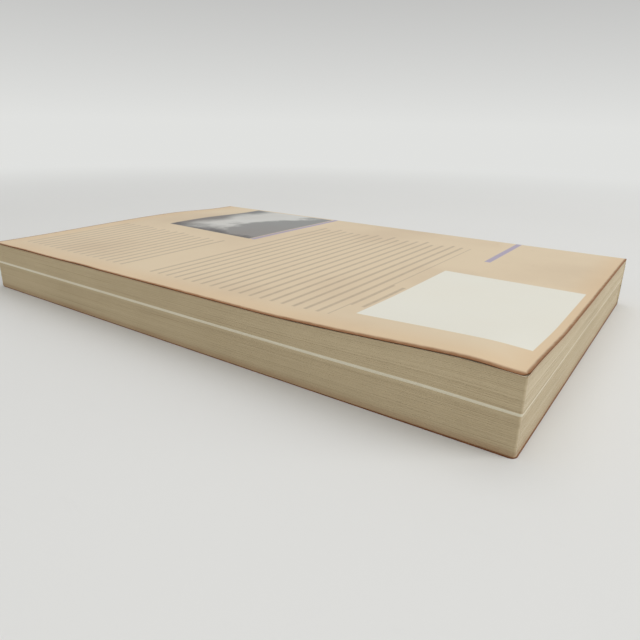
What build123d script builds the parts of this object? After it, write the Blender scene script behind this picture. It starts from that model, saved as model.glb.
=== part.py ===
"""Trade paperback lying on its front cover, with the back cover upwards.

Frame, in millimetres: +X from the fore edge to the spine, +Y from the tail to the head,
+Z up. The origin lies under the middle of the book, on the surface that it rests on.
"""
from build123d import *
from math import ceil, cos, pi
import os

# Driving dimensions of the trimmed book
book_width = 139.7          # fore edge to the outside of the spine
book_height = 215.9         # tail to head
card = 0.3                  # cover card
pages_thickness = 18.15     # all the leaves, with the plate section among them
glue_thickness = 0.8        # hot-melt film between the leaves and the spine card

# The section of coated photograph plates, bound in among the text leaves
plates_height = 10.1        # underside of the section, above the inside of the front cover
plates_thickness = 0.8
glued_edge = 1.0            # strip along the spine where glue has soaked into the leaves

# How the back cover lies on the pages
cover_clearance = 0.05      # air between the last leaf and the closed back cover
fold_flat = 6.0             # flat strip of the cover beside the spine fold
corner_lift = 2.5           # curl of the fore-edge corner at the tail
corner_droop = 0.75         # how far the very tip of that corner bends down again
droop_length = 14.0         # reach of the droop from the tail
corner_width = 42.0         # reach of the curl from the fore edge
corner_length = 75.0        # reach of the curl from the tail
arch_lift = 1.3             # arch of the cover along the head
arch_length = 110.0         # reach of the arch from the head
arch_peak = 0.66            # place of its crest, as a share of the way to the fold
points_per_curl = 5         # points of the cover's section across the curl's width

# Places worked out from the sizes above
fore_x = -book_width / 2
spine_x = book_width / 2
tail_y = -book_height / 2
head_y = book_height / 2
glue_x = spine_x - card
pages_x = glue_x - glue_thickness
pages_z = card
pages_top = pages_z + pages_thickness
back_z = pages_top + cover_clearance


def slab(x0, x1, z0, z1):
    """A box from the tail to the head, between two X places and two Z places."""
    middle = Pos((x0 + x1) / 2, 0, (z0 + z1) / 2)
    return middle * Box(x1 - x0, book_height, z1 - z0)


def fade(t):
    """Smooth fall from 1 at t = 0 to 0 at t = 1 and beyond."""
    t = min(max(t, 0.0), 1.0)
    return (1 + cos(pi * t)) / 2


def cover_lift(x, y):
    """Height of the closed back cover above its flat place."""
    from_fore = x - fore_x
    from_tail = y - tail_y
    tip = corner_droop * fade(from_tail / droop_length)
    corner = (corner_lift - tip) * fade(from_fore / corner_width) * fade(from_tail / corner_length)
    crest = arch_peak * (book_width - fold_flat)
    reach = crest if from_fore < crest else book_width - fold_flat - crest
    arch = arch_lift * fade(abs(from_fore - crest) / reach) * fade((head_y - y) / arch_length)
    return corner + arch


def cover_section(y):
    """Upright section of the back cover at one place along the spine."""
    flat_x = spine_x - fold_flat
    steps = ceil((flat_x - fore_x) / (corner_width / points_per_curl))
    places = [flat_x + (fore_x - flat_x) * i / steps for i in range(steps + 1)]
    under = [Vector(x, y, back_z + cover_lift(x, y)) for x in places]
    over = [point + Vector(0, 0, card) for point in under]
    fold_under = Vector(spine_x, y, back_z)
    fold_over = fold_under + Vector(0, 0, card)
    slope = (Vector(-1, 0, 0), under[-1] - under[-2])
    edges = [
        Edge.make_line(fold_under, under[0]),
        Edge.make_spline(under, tangents=slope),
        Edge.make_line(under[-1], over[-1]),
        Edge.make_spline(over, tangents=slope).reversed(),
        Edge.make_line(over[0], fold_over),
        Edge.make_line(fold_over, fold_under),
    ]
    return Face(Wire(edges))


def text_pages():
    """Text leaves before and after the plates, glued as one along the spine."""
    leaves = slab(fore_x, pages_x, pages_z, pages_top)
    return leaves - plates_space()


def plates_space():
    """Room that the plate section takes up among the leaves."""
    z0 = pages_z + plates_height
    return slab(fore_x, pages_x - glued_edge, z0, z0 + plates_thickness)


def back_cover():
    """Back cover card, curled at one corner and arched along the head."""
    stations = [
        tail_y,
        tail_y + droop_length / 2,
        tail_y + droop_length,
        tail_y + corner_length / 2,
        tail_y + corner_length * 3 / 4,
        tail_y + corner_length,
        head_y - arch_length,
        head_y - arch_length * 2 / 3,
        head_y - arch_length / 3,
        head_y,
    ]
    return loft([cover_section(y) for y in sorted(set(stations))], ruled=True)


nodes = {
    "text_pages": text_pages(),
    "photo_plates": plates_space(),
    "spine_glue": slab(pages_x, glue_x, pages_z, pages_top),
    "cover_spine": slab(glue_x, spine_x, card, back_z),
    "cover_front": slab(fore_x, spine_x, 0, card),
    "cover_back": back_cover(),
}

os.makedirs("parts", exist_ok=True)
for name, solid in nodes.items():
    solid.label = name
    export_step(solid, f"parts/{name}.step")
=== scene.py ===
"""Looks of a trade paperback that lies on its front cover, laid out as an add-on and run as a script."""
import math
import random

import bmesh
import bpy
from bpy.props import FloatProperty, FloatVectorProperty, PointerProperty
from mathutils import Matrix, Vector


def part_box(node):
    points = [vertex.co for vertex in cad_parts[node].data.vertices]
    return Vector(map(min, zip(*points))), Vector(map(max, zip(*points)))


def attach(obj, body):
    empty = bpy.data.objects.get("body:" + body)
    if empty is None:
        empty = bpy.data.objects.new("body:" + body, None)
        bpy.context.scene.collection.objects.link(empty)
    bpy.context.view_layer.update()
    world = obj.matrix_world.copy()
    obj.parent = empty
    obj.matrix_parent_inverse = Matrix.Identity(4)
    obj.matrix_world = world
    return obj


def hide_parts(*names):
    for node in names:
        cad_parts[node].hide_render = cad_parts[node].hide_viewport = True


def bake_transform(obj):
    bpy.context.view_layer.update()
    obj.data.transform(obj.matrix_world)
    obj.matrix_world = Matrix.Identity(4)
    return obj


bl_info = {
    "name": "Paperback book",
    "version": (1, 0, 0),
    "blender": (4, 5, 0),
    "location": "3D View > Sidebar > Book",
    "description": "Leaves, plate section, glue, wrapped cover and studio for a paperback book",
    "category": "Object",
}

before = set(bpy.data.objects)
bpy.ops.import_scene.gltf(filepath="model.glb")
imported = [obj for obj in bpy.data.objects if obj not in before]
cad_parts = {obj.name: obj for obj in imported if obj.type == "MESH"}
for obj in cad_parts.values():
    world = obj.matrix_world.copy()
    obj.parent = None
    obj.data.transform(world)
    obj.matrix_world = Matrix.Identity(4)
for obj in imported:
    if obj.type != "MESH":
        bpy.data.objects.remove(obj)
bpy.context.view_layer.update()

MM = 0.001
PAGES_LOW, PAGES_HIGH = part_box("text_pages")
PLATES_LOW, PLATES_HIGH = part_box("photo_plates")
FRONT_LOW, FRONT_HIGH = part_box("cover_front")
FORE_X, SPINE_X = FRONT_LOW.x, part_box("cover_spine")[1].x
TAIL_Y, HEAD_Y = FRONT_LOW.y, FRONT_HIGH.y
CARD = FRONT_HIGH.z - FRONT_LOW.z
BACK_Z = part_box("cover_back")[0].z
WIDTH, HEIGHT = SPINE_X - FORE_X, HEAD_Y - TAIL_Y

# Printed fields of the back, in metres from the fore edge and from the tail
PANEL_LOW, PANEL_HIGH = (0.072, 0.1404), (WIDTH - 0.002, 0.192)
LABEL_LOW, LABEL_HIGH = (0.0140, 0.0030), (0.0752, 0.0497)
OFF_SHEET = WIDTH + 0.01
STRIP_LOW, STRIP_HIGH = (PANEL_LOW[0], 0.1375), (OFF_SHEET, 0.1398)
BAR_LOW, BAR_HIGH = (0.0976, 0.0412), (OFF_SHEET, 0.0435)
RULED_FIELDS = (
    ((0.009, 0.1427), (0.062, 0.2093)),
    ((0.009, 0.0555), (0.118, 0.1315)),
    ((0.020, 0.0500), (0.047, 0.0555)),
)
RULE_PITCH = 0.0041

# How the card and the leaves have given way, in metres
FOLD_FLAT = 0.006
FOLD_STEPS = 6
ARCH_CREST = 0.66
RIM_REACH = 0.16
PLATES_REACH = 0.08
STEP_REACH = 0.03
STEP_LENGTH = 0.06
LEAF_GAP = 0.00003
PLATE_RAGGED = 0.00003

# Grid of a cover panel: squares across and along, and how they crowd at the fore edge
PANEL_GRID = (70, 90)
PANEL_CROWD = 1.6

# Studio: name, place, size and power of each lamp, then the camera
LAMPS = (
    ("lamp_above", (0.15, 0.05, 0.75), 0.7, 1.6),
    ("lamp_tail", (0.55, -1.50, 0.65), 0.9, 17.0),
    ("lamp_fore", (-1.50, -0.20, 0.60), 0.9, 6.5),
)
FLOOR_SIZE = 6
FLOOR_FADE = (0.22, 0.75)
CAMERA_PLACE = (-0.17842, -0.13105, 0.06797)
CAMERA_TURN = (55.36, 19.68, 1.12)
CAMERA_LENS, CAMERA_SENSOR, CAMERA_NEAR = 31.14, 36, 0.005


def length(name, description, default):
    """A length property, in metres."""
    return FloatProperty(name=name, description=description, default=default, unit="LENGTH", precision=5)


def colour(name, description, default):
    """A colour property, written in display values from 0 to 1."""
    return FloatVectorProperty(
        name=name, description=description, default=default, size=3, subtype="COLOR_GAMMA", min=0, max=1
    )


class BookSizes(bpy.types.PropertyGroup):
    """Sizes of the leaves and of the wrapped cover."""

    leaf: length("Leaf", "Thickness of one text leaf with the air around it", 0.00011)
    ragged: length("Ragged", "How far a leaf's edge may stand back from the trimmed edge", 0.00009)
    plate_leaf: length("Plate leaf", "Thickness of one coated plate leaf", 0.0001)
    hump: length("Hump", "Rise of the plate section behind the tail corner", 0.0003)
    dip: length("Dip", "Dip of the plate section at the very corner", 0.00045)
    dip_reach: length("Dip reach", "How far the dip runs along the edges", 0.028)
    rim_roll: length("Rim roll", "How far the back cover's fore edge rolls down", 0.00060)
    rim_width: length("Rim width", "Width of the rolled rim", 0.0014)
    step: length("Step", "How far the lower leaves stand back at the tail corner", 0.0004)
    worn_corner: length("Worn corner", "Rounding of the leaves' upright corners", 0.0007)
    fold_radius: length("Fold radius", "Outer radius of the cover's folds at the spine", 0.0005)
    fold_depth: length("Fold depth", "How far each cover panel wraps on to the spine", 0.0014)
    corner_lift: length("Corner lift", "Curl of the back cover's corner", 0.0025)
    corner_droop: length("Corner droop", "How far the curled corner's tip bends down again", 0.00075)
    droop_length: length("Droop length", "Reach of the droop from the tail", 0.014)
    corner_width: length("Corner width", "Reach of the curl from the fore edge", 0.042)
    corner_length: length("Corner length", "Reach of the curl from the tail", 0.075)
    arch_lift: length("Arch lift", "Arch of the back cover along the head", 0.0013)
    arch_length: length("Arch length", "Reach of the arch from the head", 0.110)
    corner_round: length("Corner round", "Rounding of the covers' worn outer corners", 0.0016)


class BookColours(bpy.types.PropertyGroup):
    """Colours of the paper, the card and the print."""

    buff: colour("Buff", "Cover card's printed ground", (0.850, 0.775, 0.655))
    # worn is also the brown mixed into the lowest and highest leaves next to the covers, where it is partly
    # painted shade
    worn: colour("Worn card", "Browned card along the cover's edges", (0.52, 0.33, 0.17))
    toned: colour("Toned card", "Ground darkened by hands near the edges", (0.84, 0.71, 0.54))
    # cut: the card's own browned edge, made darker as painted shade for the shadow along the covers' edges
    cut: colour("Cut card", "Dark stain on the card's cut edge", (0.36, 0.21, 0.10))
    inside: colour("Inside", "Unprinted inside of the cover", (0.88, 0.86, 0.80))
    label: colour("Label", "Blank label panel", (0.885, 0.88, 0.835))
    rule: colour("Rule", "Fine rules printed on the cover", (0.42, 0.33, 0.28))
    lilac: colour("Lilac", "Lilac bars", (0.66, 0.62, 0.70))
    dark_grey: colour("Dark grey", "Darkest tone of the printed panel", (0.22, 0.23, 0.25))
    pale_grey: colour("Pale grey", "Palest tone of the printed panel", (0.80, 0.80, 0.78))
    page: colour("Page", "Text leaves' trimmed edges", (0.735, 0.675, 0.555))
    page_face: colour("Page face", "Printed side of a leaf, away from its edges", (0.88, 0.84, 0.75))
    # page_end_painted_light: painted light; the leaves' tail and head faces are made paler than the fore edge
    # because more light falls on them
    page_end_painted_light: colour("Page ends", "Paler paper at the tail and the head", (0.80, 0.765, 0.69))
    page_dark: colour("Dark page", "Yellowed and dusty text leaves", (0.56, 0.49, 0.37))
    plate: colour("Plate", "Coated plate leaves", (0.82, 0.80, 0.72))
    glue: colour("Glue", "Hot-melt film", (0.80, 0.74, 0.60))
    floor: colour("Floor", "Floor near the book", (0.875, 0.875, 0.865))
    horizon: colour("Horizon", "Far floor and foot of the backdrop", (0.880, 0.883, 0.875))
    backdrop: colour("Backdrop", "Top of the backdrop", (0.74, 0.74, 0.735))


def sizes():
    """The scene's book sizes."""
    return bpy.context.scene.book_sizes


def tint(name):
    """A named colour as linear values with alpha."""
    values = getattr(bpy.context.scene.book_colours, name)
    linear = [v / 12.92 if v <= 0.04045 else ((v + 0.055) / 1.055) ** 2.4 for v in values]
    return (*linear, 1.0)


# ---------------------------------------------------------------- shape helpers
def fade(t):
    """Smooth fall from 1 at t = 0 to 0 at t = 1 and beyond."""
    t = min(max(t, 0.0), 1.0)
    return (1 + math.cos(math.pi * t)) / 2


def corner_curl(x, y):
    """Rise of the back cover, and of the leaves under it, at the curled corner."""
    s = sizes()
    from_fore, from_tail = x - FORE_X, y - TAIL_Y
    tip = s.corner_droop * fade(from_tail / s.droop_length)
    return (s.corner_lift - tip) * fade(from_fore / s.corner_width) * fade(from_tail / s.corner_length)


def head_arch(x, y):
    """Rise of the back cover along the head."""
    s = sizes()
    from_fore = x - FORE_X
    crest = ARCH_CREST * (WIDTH - FOLD_FLAT)
    reach = crest if from_fore < crest else WIDTH - FOLD_FLAT - crest
    return s.arch_lift * fade(abs(from_fore - crest) / reach) * fade((HEAD_Y - y) / s.arch_length)


def rim_drop(x, y):
    """How far the back cover's worn rim rolls down at the fore edge."""
    s = sizes()
    near = min(max(1 - (x - FORE_X) / s.rim_width, 0), 1)
    return s.rim_roll * near**2 * (0.25 + 0.75 * fade((y - TAIL_Y) / RIM_REACH))


def cover_lift(x, y):
    """Height of the closed back cover above its flat place."""
    return corner_curl(x, y) + head_arch(x, y) - rim_drop(x, y)


def leaf_shift(x, y, z):
    """How far a point of the leaves moves down or up, from how the book has been handled."""
    s = sizes()
    along, across = y - TAIL_Y, fade((x - FORE_X) / PLATES_REACH)
    plates = s.hump * fade(along / s.corner_length) - s.dip * fade(along / s.dip_reach)
    plates *= across
    middle = (PLATES_LOW.z + PLATES_HIGH.z) / 2
    if z > middle:
        share = (z - middle) / (PAGES_HIGH.z - middle)
        return share * corner_curl(x, y) + (1 - share) * plates
    return plates * (z - PAGES_LOW.z) / (middle - PAGES_LOW.z)


def clear_selection():
    """Leaves edit mode and deselects everything."""
    if bpy.context.object and bpy.context.object.mode != "OBJECT":
        bpy.ops.object.mode_set(mode="OBJECT")
    bpy.ops.object.select_all(action="DESELECT")


def make_active(piece):
    """Makes one piece the only selected and the active one."""
    clear_selection()
    piece.select_set(True)
    bpy.context.view_layer.objects.active = piece


def apply_modifier(piece, kind, **settings):
    """Adds a modifier, sets it and applies it."""
    make_active(piece)
    modifier = piece.modifiers.new(kind.title(), kind)
    for key, value in settings.items():
        setattr(modifier, key, value)
    bpy.ops.object.modifier_apply(modifier=modifier.name)


def settle(piece):
    """Puts the object at the origin, with its place in its mesh."""
    make_active(piece)
    bpy.ops.object.transform_apply(location=True, rotation=True, scale=True)


def smooth(piece, degrees=35):
    """Smooth shading, with sharp edges kept."""
    make_active(piece)
    bpy.ops.object.shade_smooth_by_angle(angle=math.radians(degrees))


def select_by(bm, test):
    """Selects in edit mode the vertices whose place passes a test, with the edges and faces between them."""
    for v in bm.verts:
        v.select = test(v.co)
    for e in bm.edges:
        e.select = all(v.select for v in e.verts)
    for f in bm.faces:
        f.select = all(v.select for v in f.verts)


# ---------------------------------------------------------------- materials
class Nodes:
    """A material's nodes, made one after another with short calls."""

    def __init__(self, name):
        self.material = bpy.data.materials.new(name)
        self.material.use_nodes = True
        self.tree = self.material.node_tree
        self.shader = self.tree.nodes["Principled BSDF"]

    def add(self, kind, **settings):
        """A new node with its properties set."""
        node = self.tree.nodes.new("ShaderNode" + kind)
        for key, value in settings.items():
            setattr(node, key, value)
        return node

    def link(self, source, target):
        """Joins an output to an input, or sets the input to a plain value."""
        if isinstance(source, (int, float, tuple)):
            target.default_value = source
        else:
            self.tree.links.new(source, target)

    def math(self, operation, a, b=0.0, c=0.0, clamp=False):
        """A math node's result."""
        node = self.add("Math", operation=operation, use_clamp=clamp)
        for value, socket in zip((a, b, c), node.inputs):
            self.link(value, socket)
        return node.outputs[0]

    def mix(self, factor, a, b, blend="MIX"):
        """A colour between a and b."""
        node = self.add("Mix", data_type="RGBA", blend_type=blend)
        self.link(factor, node.inputs["Factor"])
        self.link(a, node.inputs[6])
        self.link(b, node.inputs[7])
        return node.outputs[2]

    def noise(self, place, scale, detail=3.0, stretch=(1, 1, 1), rough=0.5):
        """Noise of a number of waves a metre, stretched along the axes."""
        mapping = self.add("Mapping")
        mapping.inputs["Scale"].default_value = stretch
        self.link(place, mapping.inputs["Vector"])
        node = self.add("TexNoise")
        node.inputs["Scale"].default_value = scale
        node.inputs["Detail"].default_value = detail
        node.inputs["Roughness"].default_value = rough
        self.link(mapping.outputs[0], node.inputs["Vector"])
        return node.outputs["Fac"]

    def ramp(self, value, low, high):
        """0 below low, 1 above high and smooth between them."""
        node = self.add("MapRange", interpolation_type="SMOOTHSTEP")
        self.link(value, node.inputs["Value"])
        node.inputs["From Min"].default_value = low
        node.inputs["From Max"].default_value = high
        return node.outputs["Result"]

    def window(self, value, low, high, soft):
        """1 between low and high, with soft ends."""
        rise = self.ramp(value, low - soft, low + soft)
        fall = self.ramp(value, high - soft, high + soft)
        return self.math("SUBTRACT", rise, fall, clamp=True)

    def bump(self, height, strength, distance):
        """Bump of a height field on the shader's normal."""
        node = self.add("Bump")
        node.inputs["Strength"].default_value = strength
        node.inputs["Distance"].default_value = distance
        self.link(height, node.inputs["Height"])
        self.link(node.outputs[0], self.shader.inputs["Normal"])

    def finish(self, base, roughness, specular=0.35, coat=0.0):
        """Sets the shader's colour and gloss and returns the material."""
        self.link(base, self.shader.inputs["Base Color"])
        self.link(roughness, self.shader.inputs["Roughness"])
        self.shader.inputs["Specular IOR Level"].default_value = specular
        self.shader.inputs["Coat Weight"].default_value = coat
        return self.material


def page_material(name, pale, dark, rough, specular, streak):
    """Trimmed leaf edges: fine lines along the leaves, dust, brown stains darkened as painted shade next to the
    covers, and paler tail and head faces as painted light.
    """
    n = Nodes(name)
    coords = n.add("TexCoord")
    split = n.add("SeparateXYZ")
    n.link(coords.outputs["Object"], split.inputs[0])
    level = n.add("Attribute", attribute_name="leaf_level").outputs["Fac"]
    joined = n.add("CombineXYZ")
    n.link(split.outputs["X"], joined.inputs[0])
    n.link(split.outputs["Y"], joined.inputs[1])
    n.link(level, joined.inputs[2])
    place = joined.outputs[0]
    leaves = n.noise(place, 3400.0, 2.0, (0.0035, 0.0035, 1.0), 0.7)
    bands = n.noise(place, 900.0, 3.0, (0.005, 0.005, 1.0), 0.6)
    clouds = n.noise(place, 30.0, 4.0)
    grain = n.noise(place, 2600.0, 3.0, (1, 1, 1.8), 0.6)
    gaps = n.ramp(leaves, 0.56, 0.72)
    tone = n.math("MULTIPLY_ADD", gaps, streak * 0.45, 0.20)
    tone = n.math("MULTIPLY_ADD", n.math("SUBTRACT", bands, 0.5), streak * 0.5, tone)
    tone = n.math("MULTIPLY_ADD", n.math("SUBTRACT", clouds, 0.5), 0.5, tone)
    tone = n.math("MULTIPLY_ADD", n.math("SUBTRACT", grain, 0.5), 0.45, tone, clamp=True)
    base = n.mix(tone, tint(pale), tint(dark))
    sides = n.add("SeparateXYZ")
    n.link(coords.outputs["Normal"], sides.inputs[0])
    # Painted light: faces turned to the tail or the head are made paler, since more light falls on them than on
    # the fore edge
    ends = n.ramp(n.math("ABSOLUTE", sides.outputs["Y"]), 0.6, 0.9)
    base = n.mix(n.math("MULTIPLY", ends, 0.42), base, tint("page_end_painted_light"))
    # Real brown stain and painted shade: the lowest and highest leaves, next to the covers, are browned and
    # darkened for the shade along the floor and under the back cover's lifted edge
    low = n.ramp(level, PAGES_LOW.z + 2.4 * MM, PAGES_LOW.z)
    high = n.ramp(level, PAGES_HIGH.z - 0.9 * MM, PAGES_HIGH.z)
    stain_and_shade = n.math("MULTIPLY", n.math("MAXIMUM", low, high), n.math("ADD", clouds, 0.15))
    base = n.mix(n.math("MULTIPLY", stain_and_shade, 0.55, clamp=True), base, tint("worn"))
    n.bump(n.math("ADD", n.math("MULTIPLY", gaps, -0.6), n.math("MULTIPLY", grain, 0.5)), 0.4, 0.00008)
    return n.finish(base, rough, specular)


def page_face_material():
    """The face of an outer leaf: blank, a little foxed, yellower towards its trimmed edges."""
    n = Nodes("page_face")
    place = n.add("TexCoord").outputs["Object"]
    split = n.add("SeparateXYZ")
    n.link(place, split.inputs[0])
    from_fore = n.math("SUBTRACT", split.outputs["X"], FORE_X)
    from_end = n.math("SUBTRACT", HEIGHT / 2, n.math("ABSOLUTE", split.outputs["Y"]))
    edge = n.math("MINIMUM", from_fore, from_end)
    clouds = n.noise(place, 22.0, 5.0)
    fibre = n.noise(place, 1500.0, 3.0, (1, 1, 1), 0.6)
    edge = n.math("MULTIPLY_ADD", n.math("SUBTRACT", clouds, 0.5), 0.012, edge)
    rim = n.ramp(edge, 0.020, 0.0)
    spots = n.math("MULTIPLY", n.ramp(clouds, 0.45, 0.75), 0.12)
    tone = n.math("MULTIPLY_ADD", rim, 0.55, spots, clamp=True)
    base = n.mix(tone, tint("page_face"), tint("page"))
    n.bump(fibre, 0.10, 0.00005)
    return n.finish(base, 0.9, 0.2)


def card_parts(n):
    """Sheet coordinates of a cover panel and the share of wear at its trimmed edges."""
    uv = n.add("UVMap", uv_map="sheet")
    split = n.add("SeparateXYZ")
    n.link(uv.outputs["UV"], split.inputs[0])
    u, v = split.outputs["X"], split.outputs["Y"]
    from_tail = n.math("MINIMUM", v, n.math("SUBTRACT", HEIGHT, v))
    edge = n.math("MINIMUM", u, from_tail)
    nibble = n.noise(uv.outputs["UV"], 260.0, 4.0, (1, 1, 1), 0.65)
    worn = n.math("MULTIPLY_ADD", n.math("SUBTRACT", nibble, 0.5), 0.0011, edge)
    wear = n.math("SUBTRACT", 1.0, n.ramp(worn, 0.0001, 0.0009), clamp=True)
    return uv.outputs["UV"], u, v, edge, wear


def card_ground(n, uv, edge, wear, base):
    """Buff card with soft blotches, handling marks and browned edges."""
    blotch = n.noise(uv, 16.0, 5.0)
    fibre = n.noise(uv, 1400.0, 3.0, (1, 1, 1), 0.6)
    marks = n.noise(uv, 55.0, 6.0, (1, 3.5, 1), 0.7)
    base = n.mix(n.math("MULTIPLY", n.ramp(blotch, 0.42, 0.72), 0.16), base, tint("worn"))
    base = n.mix(n.math("MULTIPLY", n.ramp(marks, 0.60, 0.78), 0.12), base, tint("worn"))
    rim = n.math("SUBTRACT", 1.0, n.ramp(edge, 0.0, 0.012), clamp=True)
    base = n.mix(n.math("MULTIPLY", rim, 0.45), base, tint("toned"))
    brink = n.math("SUBTRACT", 1.0, n.ramp(edge, 0.0003, 0.0011), clamp=True)
    base = n.mix(n.math("MULTIPLY", brink, 0.6), base, tint("worn"))
    base = n.mix(n.math("MULTIPLY", wear, 0.75), base, tint("worn"))
    n.bump(n.math("MULTIPLY_ADD", fibre, 0.35, n.math("MULTIPLY", marks, 0.8)), 0.10, 0.00012)
    return base


def box_mask(n, u, v, low, high, soft=0.00012):
    """1 inside a rectangle of the sheet."""
    across = n.window(u, low[0], high[0], soft)
    along = n.window(v, low[1], high[1], soft)
    return n.math("MULTIPLY", across, along)


def rules(n, uv, u, v, low, high, pitch):
    """Fine even rules that run across a rectangle, each one with its own right-hand end."""
    row = n.math("FLOOR", n.math("DIVIDE", v, pitch))
    phase = n.math("FRACT", n.math("DIVIDE", v, pitch))
    line = n.window(phase, 0.36, 0.64, 0.09)
    spread = n.math("FRACT", n.math("MULTIPLY", n.math("SINE", n.math("MULTIPLY", row, 12.9)), 43.7))
    end = n.math("MULTIPLY_ADD", spread, -0.05 * (high[0] - low[0]), high[0])
    inside = n.window(v, low[1], high[1], 0.0001)
    across = n.math("MULTIPLY", n.ramp(u, low[0], low[0] + 0.0003), n.math("LESS_THAN", u, end))
    fading = n.math("MULTIPLY_ADD", n.noise(uv, 420.0, 2.0, (1, 0.2, 1)), 0.5, 0.45)
    return n.math("MULTIPLY", n.math("MULTIPLY", line, fading), n.math("MULTIPLY", inside, across))


def grey_panel(n, uv, u, v, low, high):
    """A generic misty landscape in greys: a dark bank on one side, pale sky and soft hills."""
    wide, tall = high[0] - low[0], high[1] - low[1]
    s = n.math("DIVIDE", n.math("SUBTRACT", u, low[0]), wide)
    t = n.math("DIVIDE", n.math("SUBTRACT", v, low[1]), tall)
    ripple = n.noise(uv, 70.0, 4.0, (1, 1, 1), 0.6)
    hill = n.math("MULTIPLY_ADD", n.math("SINE", n.math("MULTIPLY", s, 4.4)), 0.16, 0.34)
    hill = n.math("MULTIPLY_ADD", n.math("SUBTRACT", ripple, 0.5), 0.5, hill)
    land = n.ramp(n.math("SUBTRACT", t, hill), 0.10, -0.06)
    bank = n.ramp(n.math("ADD", s, n.math("MULTIPLY", ripple, 0.35)), 0.42, 0.16)
    cloud = n.ramp(n.math("ADD", t, n.math("MULTIPLY", n.noise(uv, 38.0, 3.0), 0.6)), 1.0, 1.25)
    tone = n.math("MAXIMUM", n.math("MULTIPLY", land, 0.62), n.math("MULTIPLY", cloud, 0.75))
    tone = n.math("MAXIMUM", tone, n.math("MULTIPLY", bank, 0.9))
    return n.mix(tone, tint("pale_grey"), tint("dark_grey"))


def cover_material(name, printed):
    """Printed outside of a cover panel, with or without the back's printed fields."""
    n = Nodes(name)
    uv, u, v, edge, wear = card_parts(n)
    base = tint("buff")
    if printed:
        column, body, last = (rules(n, uv, u, v, low, high, RULE_PITCH) for low, high in RULED_FIELDS)
        ink = n.math("MAXIMUM", n.math("MAXIMUM", column, body), last)
        base = n.mix(n.math("MULTIPLY", ink, 0.50), base, tint("rule"))
        panel = box_mask(n, u, v, PANEL_LOW, PANEL_HIGH)
        base = n.mix(panel, base, grey_panel(n, uv, u, v, PANEL_LOW, PANEL_HIGH))
        strip = box_mask(n, u, v, STRIP_LOW, STRIP_HIGH)
        bar = box_mask(n, u, v, BAR_LOW, BAR_HIGH)
        base = n.mix(n.math("MAXIMUM", strip, bar), base, tint("lilac"))
    ground = card_ground(n, uv, edge, wear, base)
    if printed:
        label = box_mask(n, u, v, LABEL_LOW, LABEL_HIGH)
        dust = n.math("MULTIPLY_ADD", n.noise(uv, 40.0, 5.0), 0.16, 0.0)
        ground = n.mix(label, ground, n.mix(dust, tint("label"), tint("buff")))
    rough = n.math("MULTIPLY_ADD", wear, 0.25, 0.46)
    return n.finish(ground, rough, 0.4)


def inside_material():
    """Unprinted, slightly yellowed inside of the cover."""
    n = Nodes("cover_inside")
    uv, u, v, edge, wear = card_parts(n)
    base = card_ground(n, uv, edge, wear, tint("inside"))
    return n.finish(base, 0.7, 0.25)


def cut_material():
    """The card's trimmed edge, browned by handling and darkened further as painted shade."""
    n = Nodes("cover_cut")
    place = n.add("TexCoord").outputs["Object"]
    mottle = n.noise(place, 320.0, 4.0, (1, 1, 1), 0.65)
    # The cut face's dark brown is partly painted shade for the shadow along the covers' edges
    base = n.mix(n.ramp(mottle, 0.35, 0.85), tint("cut"), tint("worn"))
    n.bump(mottle, 0.3, 0.0001)
    return n.finish(base, 0.85, 0.2)


def glue_material():
    """Creamy hot-melt film with small runs."""
    n = Nodes("glue_film")
    place = n.add("TexCoord").outputs["Object"]
    runs = n.noise(place, 500.0, 3.0, (1, 0.3, 2), 0.5)
    base = n.mix(n.ramp(runs, 0.35, 0.7), tint("glue"), tint("page_dark"))
    n.bump(runs, 0.25, 0.0001)
    return n.finish(base, 0.45, 0.45)


# ---------------------------------------------------------------- leaves
def stack_leaves(name, x0, x1, z0, z1, leaf, ragged, seed):
    """A stack of leaves: one outline, extruded leaf by leaf, each leaf trimmed a little differently."""
    dice = random.Random(seed)
    clear_selection()
    bpy.ops.mesh.primitive_plane_add(size=1, location=((x0 + x1) / 2, 0, z0))
    stack = bpy.context.object
    stack.name = name
    stack.scale = (x1 - x0, HEIGHT, 1)
    settle(stack)
    make_active(stack)
    bpy.ops.object.mode_set(mode="EDIT")
    bpy.ops.mesh.select_all(action="SELECT")
    bpy.ops.mesh.bevel(offset=sizes().worn_corner, segments=3, affect="VERTICES")
    bpy.ops.mesh.select_all(action="DESELECT")
    bm = bmesh.from_edit_mesh(stack.data)
    for e in bm.edges:
        e.select = e.calc_length() > 0.05
    bpy.ops.mesh.subdivide(number_cuts=27)
    bpy.ops.mesh.select_all(action="SELECT")
    bpy.ops.mesh.flip_normals()
    count = max(2, round((z1 - z0) / leaf))
    tall = (z1 - z0) / count
    centre = Vector(((x0 + x1) / 2, 0, 0))
    inset = 0.0
    for i in range(count):
        target = ragged * dice.random() ** 1.6
        for rise, new in ((0.0, target), (tall, target)):
            bpy.ops.mesh.extrude_region_move(TRANSFORM_OT_translate={"value": (0, 0, rise)})
            change = new - inset
            if change:
                scale = (1 - 2 * change / (x1 - x0), 1 - 2 * change / HEIGHT, 1)
                bpy.ops.transform.resize(value=scale, center_override=centre)
                inset = new
    bpy.ops.object.mode_set(mode="OBJECT")
    return stack


def handle_leaves(stack):
    """Moves the leaves as use has left them: curled at one corner, the lower half stepped back."""
    s = sizes()
    middle = (PLATES_LOW.z + PLATES_HIGH.z) / 2
    level = stack.data.attributes.new("leaf_level", "FLOAT", "POINT")
    level.data.foreach_set("value", [v.co.z for v in stack.data.vertices])
    for v in stack.data.vertices:
        x, y, z = v.co
        near = fade((y - TAIL_Y) / STEP_LENGTH)
        if z < middle:
            v.co.y += s.step * fade((y - TAIL_Y) / STEP_REACH) * 0.5
            v.co.x += s.step * near * fade((x - FORE_X) / STEP_REACH)
        roof = BACK_Z + cover_lift(x, y) - LEAF_GAP - 0.05 * (PAGES_HIGH.z - z)
        v.co.z = min(z + leaf_shift(x, y, z), roof)


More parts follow.
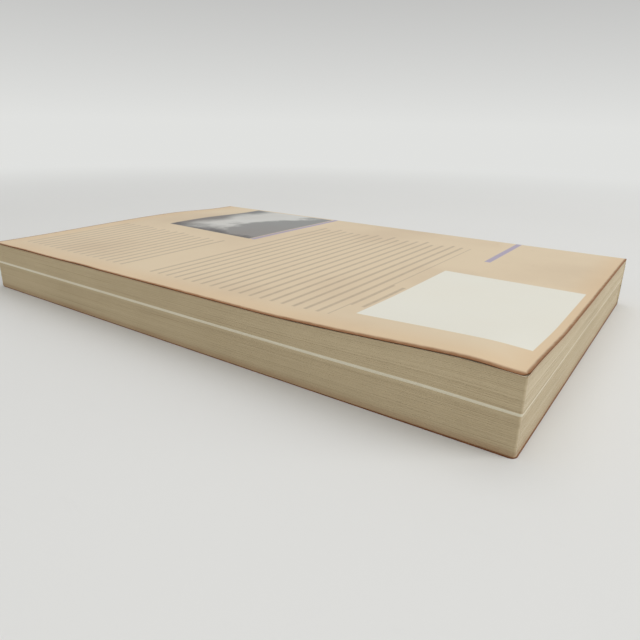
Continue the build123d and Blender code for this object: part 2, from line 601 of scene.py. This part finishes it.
def stack_piece(name, node, span, leaf, ragged, material, seed):
    """A finished stack of leaves that stands for a node, or shares one."""
    x0, x1, z0, z1 = span
    stack = stack_leaves(name, x0, x1, z0, z1, leaf, ragged, seed)
    handle_leaves(stack)
    stack.data.materials.append(material)
    stack.data.materials.append(bpy.data.materials.get("page_face") or page_face_material())
    for face in stack.data.polygons:
        face.material_index = 1 if face.area > WIDTH * HEIGHT / 2 else 0
    make_active(stack)
    bpy.ops.object.mode_set(mode="EDIT")
    bpy.ops.mesh.select_all(action="SELECT")
    bpy.ops.mesh.remove_doubles(threshold=1e-7)
    bpy.ops.mesh.normals_make_consistent(inside=False)
    bpy.ops.object.mode_set(mode="OBJECT")
    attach(stack, "block")
    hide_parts(node)
    return stack


class BOOK_OT_leaves(bpy.types.Operator):
    """Make the two stacks of text leaves"""

    bl_idname = "book.leaves"
    bl_label = "Text leaves"

    def execute(self, context):
        s = sizes()
        paper = page_material("page_edges", "page", "page_dark", 0.9, 0.2, 1.0)
        x0, x1 = PAGES_LOW.x, PAGES_HIGH.x
        lower = (x0, x1, PAGES_LOW.z, PLATES_LOW.z)
        upper = (x0, x1, PLATES_HIGH.z, PAGES_HIGH.z)
        stack_piece("lower_leaves", "text_pages", lower, s.leaf, s.ragged, paper, 3)
        stack_piece("upper_leaves", "text_pages", upper, s.leaf, s.ragged, paper, 7)
        return {"FINISHED"}


class BOOK_OT_plates(bpy.types.Operator):
    """Make the section of coated plates"""

    bl_idname = "book.plates"
    bl_label = "Plate section"

    def execute(self, context):
        s = sizes()
        coated = page_material("coated_edges", "plate", "page", 0.55, 0.45, 0.9)
        span = (PLATES_LOW.x, PAGES_HIGH.x, PLATES_LOW.z, PLATES_HIGH.z)
        stack_piece("plate_leaves", "photo_plates", span, s.plate_leaf, PLATE_RAGGED, coated, 11)
        return {"FINISHED"}


class BOOK_OT_glue(bpy.types.Operator):
    """Finish the glue film between the leaves and the spine"""

    bl_idname = "book.glue"
    bl_label = "Glue film"

    def execute(self, context):
        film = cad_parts["spine_glue"]
        film.data.materials.clear()
        film.data.materials.append(glue_material())
        return {"FINISHED"}


# ---------------------------------------------------------------- cover
def write_sheet_map(piece):
    """Maps the card in metres: across from the fore edge, and up from the tail."""
    layer = piece.data.uv_layers.get("sheet") or piece.data.uv_layers.new(name="sheet")
    for loop in piece.data.loops:
        co = piece.data.vertices[loop.vertex_index].co
        layer.data[loop.index].uv = (co.x - FORE_X, co.y - TAIL_Y)


def panel_sheet(name, side):
    """The outer skin of a cover panel with its fold on to the spine. The back's side is 1, the front's -1."""
    s = sizes()
    outer = BACK_Z + CARD if side > 0 else FRONT_LOW.z
    clear_selection()
    bpy.ops.mesh.primitive_grid_add(
        x_subdivisions=PANEL_GRID[0], y_subdivisions=PANEL_GRID[1], size=1, location=(0, 0, outer), calc_uvs=True
    )
    sheet = bpy.context.object
    sheet.name = name
    reach = WIDTH - s.fold_radius
    sheet.scale = (reach, HEIGHT, 1)
    sheet.location.x = FORE_X + reach / 2
    settle(sheet)
    for v in sheet.data.vertices:
        v.co.x = FORE_X + reach * ((v.co.x - FORE_X) / reach) ** PANEL_CROWD
        v.co.y = HEIGHT / 2 * math.sin(math.pi * v.co.y / HEIGHT)
    make_active(sheet)
    bpy.ops.object.mode_set(mode="EDIT")
    bpy.ops.mesh.select_all(action="DESELECT")
    bm = bmesh.from_edit_mesh(sheet.data)
    brink = FORE_X + reach - 1e-6
    select_by(bm, lambda co: co.x > brink)
    bmesh.update_edit_mesh(sheet.data)
    for i in range(FOLD_STEPS):
        a = math.pi / 2 * i / FOLD_STEPS
        b = math.pi / 2 * (i + 1) / FOLD_STEPS
        across = s.fold_radius * (math.sin(b) - math.sin(a))
        move = (across, 0, side * s.fold_radius * (math.cos(b) - math.cos(a)))
        bpy.ops.mesh.extrude_region_move(TRANSFORM_OT_translate={"value": move})
    bpy.ops.mesh.extrude_region_move(TRANSFORM_OT_translate={"value": (0, 0, -side * s.fold_depth)})
    bpy.ops.mesh.select_all(action="SELECT")
    bpy.ops.mesh.normals_make_consistent(inside=False)
    bpy.ops.object.mode_set(mode="OBJECT")
    return sheet


def round_corners(sheet):
    """Draws the two outer corners in, as wear has rounded them."""
    r = sizes().corner_round
    for v in sheet.data.vertices:
        dx = r - (v.co.x - FORE_X)
        for end, sign in ((TAIL_Y, 1), (HEAD_Y, -1)):
            dy = r - sign * (v.co.y - end)
            if dx > 0 and dy > 0:
                pull = max(dx, dy) / math.hypot(dx, dy)
                v.co.x = FORE_X + r - dx * pull
                v.co.y = end + sign * (r - dy * pull)


def lift_back(sheet):
    """Lifts the back cover's corner and arches it along the head."""
    dice = random.Random(5)
    waves = [
        (dice.uniform(60, 190), dice.uniform(0, 6.28), dice.uniform(0.00002, 0.00006)) for _ in range(5)
    ]
    for v in sheet.data.vertices:
        ripple = sum(a * math.sin(w * (v.co.y - TAIL_Y) + p) for w, p, a in waves)
        near = fade((v.co.x - FORE_X) / 0.02)
        v.co.z += cover_lift(v.co.x, v.co.y) + max(ripple * near, 0)


def thicken(sheet, side, outside):
    """Gives the sheet its card thickness inwards, with printed, inner and cut faces."""
    sheet.data.materials.append(outside)
    sheet.data.materials.append(bpy.data.materials.get("cover_inside") or inside_material())
    sheet.data.materials.append(bpy.data.materials.get("cover_cut") or cut_material())
    make_active(sheet)
    up = sum(p.normal.z for p in sheet.data.polygons) * side > 0
    if not up:
        bpy.ops.object.mode_set(mode="EDIT")
        bpy.ops.mesh.select_all(action="SELECT")
        bpy.ops.mesh.flip_normals()
        bpy.ops.object.mode_set(mode="OBJECT")
    apply_modifier(
        sheet, "SOLIDIFY", thickness=CARD, offset=-1, material_offset=1, material_offset_rim=2
    )
    write_sheet_map(sheet)
    smooth(sheet, 40)


def cover_panel(name, node, side, outside):
    """One cover panel, its card bent round at the spine."""
    sheet = panel_sheet(name, side)
    round_corners(sheet)
    if side > 0:
        lift_back(sheet)
    thicken(sheet, side, outside)
    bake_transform(sheet)
    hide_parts(node)
    return sheet


class BOOK_OT_cover(bpy.types.Operator):
    """Make the wrapped cover: two panels and the spine between them"""

    bl_idname = "book.cover"
    bl_label = "Cover"

    def execute(self, context):
        plain = cover_material("cover_plain", False)
        printed = cover_material("cover_printed", True)
        cover_panel("back_cover_card", "cover_back", 1, printed)
        cover_panel("front_cover_card", "cover_front", -1, plain)
        self.make_spine(plain)
        return {"FINISHED"}

    def make_spine(self, plain):
        """The spine's own stretch of card, between the two folds."""
        s = sizes()
        low = FRONT_LOW.z + s.fold_radius + s.fold_depth
        high = BACK_Z + CARD - s.fold_radius - s.fold_depth
        clear_selection()
        bpy.ops.mesh.primitive_grid_add(
            x_subdivisions=12, y_subdivisions=PANEL_GRID[1], size=1, location=(SPINE_X, 0, (low + high) / 2)
        )
        spine = bpy.context.object
        spine.name = "spine_card"
        spine.rotation_euler = (0, math.pi / 2, 0)
        spine.scale = (high - low, HEIGHT, 1)
        settle(spine)
        spine.data.materials.append(plain)
        spine.data.materials.append(bpy.data.materials["cover_inside"])
        spine.data.materials.append(bpy.data.materials["cover_cut"])
        if sum(p.normal.x for p in spine.data.polygons) < 0:
            make_active(spine)
            bpy.ops.object.mode_set(mode="EDIT")
            bpy.ops.mesh.select_all(action="SELECT")
            bpy.ops.mesh.flip_normals()
            bpy.ops.object.mode_set(mode="OBJECT")
        apply_modifier(
            spine, "SOLIDIFY", thickness=CARD, offset=-1, material_offset=1, material_offset_rim=2
        )
        write_sheet_map(spine)
        smooth(spine, 40)
        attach(spine, "block")
        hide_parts("cover_spine")


# ---------------------------------------------------------------- stage
def floor_material():
    """Pale floor, a little marked, which turns into an even glow further from the book."""
    n = Nodes("studio_floor")
    place = n.add("TexCoord").outputs["Object"]
    clouds = n.noise(place, 5.0, 3.0)
    marks = n.noise(place, 160.0, 5.0, (1, 0.25, 1), 0.6)
    tone = n.math("MULTIPLY_ADD", n.math("SUBTRACT", clouds, 0.5), 0.10, 0.06)
    tone = n.math("MULTIPLY_ADD", n.ramp(marks, 0.62, 0.80), 0.05, tone, clamp=True)
    base = n.mix(tone, tint("floor"), (0.45, 0.44, 0.42, 1.0))
    away = n.add("VectorMath", operation="LENGTH")
    n.link(place, away.inputs[0])
    glow = n.add("Emission")
    glow.inputs["Color"].default_value = tint("horizon")
    blend = n.add("MixShader")
    n.link(n.ramp(away.outputs["Value"], *FLOOR_FADE), blend.inputs[0])
    n.link(n.shader.outputs[0], blend.inputs[1])
    n.link(glow.outputs[0], blend.inputs[2])
    n.link(blend.outputs[0], n.tree.nodes["Material Output"].inputs["Surface"])
    return n.finish(base, 0.6, 0.2)


def add_lamp(name, place, target, size, power):
    """A soft square lamp aimed at a point."""
    clear_selection()
    bpy.ops.object.light_add(type="AREA", location=place)
    lamp = bpy.context.object
    lamp.name = name
    lamp.data.size = size
    lamp.data.energy = power
    lamp.rotation_euler = (Vector(target) - Vector(place)).to_track_quat("-Z", "Y").to_euler()
    return lamp


class BOOK_OT_stage(bpy.types.Operator):
    """Set the floor, the backdrop, the lamps and the camera"""

    bl_idname = "book.stage"
    bl_label = "Studio"

    def execute(self, context):
        scene = context.scene
        scene.view_settings.view_transform = "Standard"
        self.make_floor()
        self.make_world(scene)
        for name, place, size, power in LAMPS:
            add_lamp(name, place, (0, 0, 0), size, power)
        self.make_camera(scene)
        return {"FINISHED"}

    def make_floor(self):
        """A flat floor under the book."""
        clear_selection()
        bpy.ops.mesh.primitive_grid_add(x_subdivisions=8, y_subdivisions=8, size=FLOOR_SIZE, location=(0, 0, 0))
        floor = bpy.context.object
        floor.name = "studio_floor"
        floor.data.materials.append(floor_material())

    def make_world(self, scene):
        """A backdrop that darkens upwards, over an even grey light."""
        world = bpy.data.worlds.new("studio_world")
        world.use_nodes = True
        tree = world.node_tree
        back = tree.nodes["Background"]
        path = tree.nodes.new("ShaderNodeLightPath")
        mix = tree.nodes.new("ShaderNodeMix")
        mix.data_type = "RGBA"
        mix.inputs[6].default_value = (0.50, 0.50, 0.50, 1)
        direction = tree.nodes.new("ShaderNodeTexCoord")
        split = tree.nodes.new("ShaderNodeSeparateXYZ")
        tree.links.new(direction.outputs["Generated"], split.inputs[0])
        rise = tree.nodes.new("ShaderNodeMapRange")
        rise.inputs["From Max"].default_value = 0.22
        tree.links.new(split.outputs["Z"], rise.inputs["Value"])
        sweep = tree.nodes.new("ShaderNodeMix")
        sweep.data_type = "RGBA"
        sweep.inputs[6].default_value = tint("horizon")
        sweep.inputs[7].default_value = tint("backdrop")
        tree.links.new(rise.outputs["Result"], sweep.inputs["Factor"])
        tree.links.new(sweep.outputs[2], mix.inputs[7])
        seen = tree.nodes.new("ShaderNodeMath")
        seen.operation = "MAXIMUM"
        tree.links.new(path.outputs["Is Camera Ray"], seen.inputs[0])
        tree.links.new(path.outputs["Is Glossy Ray"], seen.inputs[1])
        tree.links.new(seen.outputs[0], mix.inputs["Factor"])
        tree.links.new(mix.outputs[2], back.inputs["Color"])
        back.inputs["Strength"].default_value = 1.0
        scene.world = world

    def make_camera(self, scene):
        """A camera low beside the tail corner, close to the book."""
        yaw, pitch, roll = (math.radians(a) for a in CAMERA_TURN)
        place = Vector(CAMERA_PLACE)
        ahead = Vector((math.sin(yaw) * math.cos(pitch), math.cos(yaw) * math.cos(pitch), -math.sin(pitch)))
        right = Vector((math.cos(yaw), -math.sin(yaw), 0))
        up = right.cross(ahead)
        tilted = right * math.cos(roll) + up * math.sin(roll)
        up = up * math.cos(roll) - right * math.sin(roll)
        data = bpy.data.cameras.new("studio_camera")
        camera = bpy.data.objects.new("studio_camera", data)
        scene.collection.objects.link(camera)
        turn = Matrix((tilted, up, -ahead)).transposed()
        camera.matrix_world = Matrix.Translation(place) @ turn.to_4x4()
        data.lens = CAMERA_LENS
        data.sensor_width = CAMERA_SENSOR
        data.clip_start = CAMERA_NEAR
        scene.camera = camera


class BOOK_PT_panel(bpy.types.Panel):
    """Lists the book's pieces and their sizes and colours"""

    bl_label = "Paperback book"
    bl_idname = "BOOK_PT_panel"
    bl_space_type = "VIEW_3D"
    bl_region_type = "UI"
    bl_category = "Book"

    def draw(self, context):
        for step in STEPS:
            self.layout.operator(step.bl_idname)
        for group in (context.scene.book_sizes, context.scene.book_colours):
            column = self.layout.column()
            for key in type(group).__annotations__:
                column.prop(group, key)


STEPS = (BOOK_OT_stage, BOOK_OT_leaves, BOOK_OT_plates, BOOK_OT_glue, BOOK_OT_cover)
CLASSES = (BookSizes, BookColours, *STEPS, BOOK_PT_panel)


def register():
    """Registers the classes and hangs the settings on the scene."""
    for item in CLASSES:
        bpy.utils.register_class(item)
    bpy.types.Scene.book_sizes = PointerProperty(type=BookSizes)
    bpy.types.Scene.book_colours = PointerProperty(type=BookColours)


def unregister():
    """Takes the settings and the classes away again."""
    del bpy.types.Scene.book_colours
    del bpy.types.Scene.book_sizes
    for item in reversed(CLASSES):
        bpy.utils.unregister_class(item)


def main():
    """Makes the book and its studio, step by step."""
    register()
    bpy.ops.book.stage()
    bpy.ops.book.leaves()
    bpy.ops.book.plates()
    bpy.ops.book.glue()
    bpy.ops.book.cover()


if __name__ == "__main__":
    main()
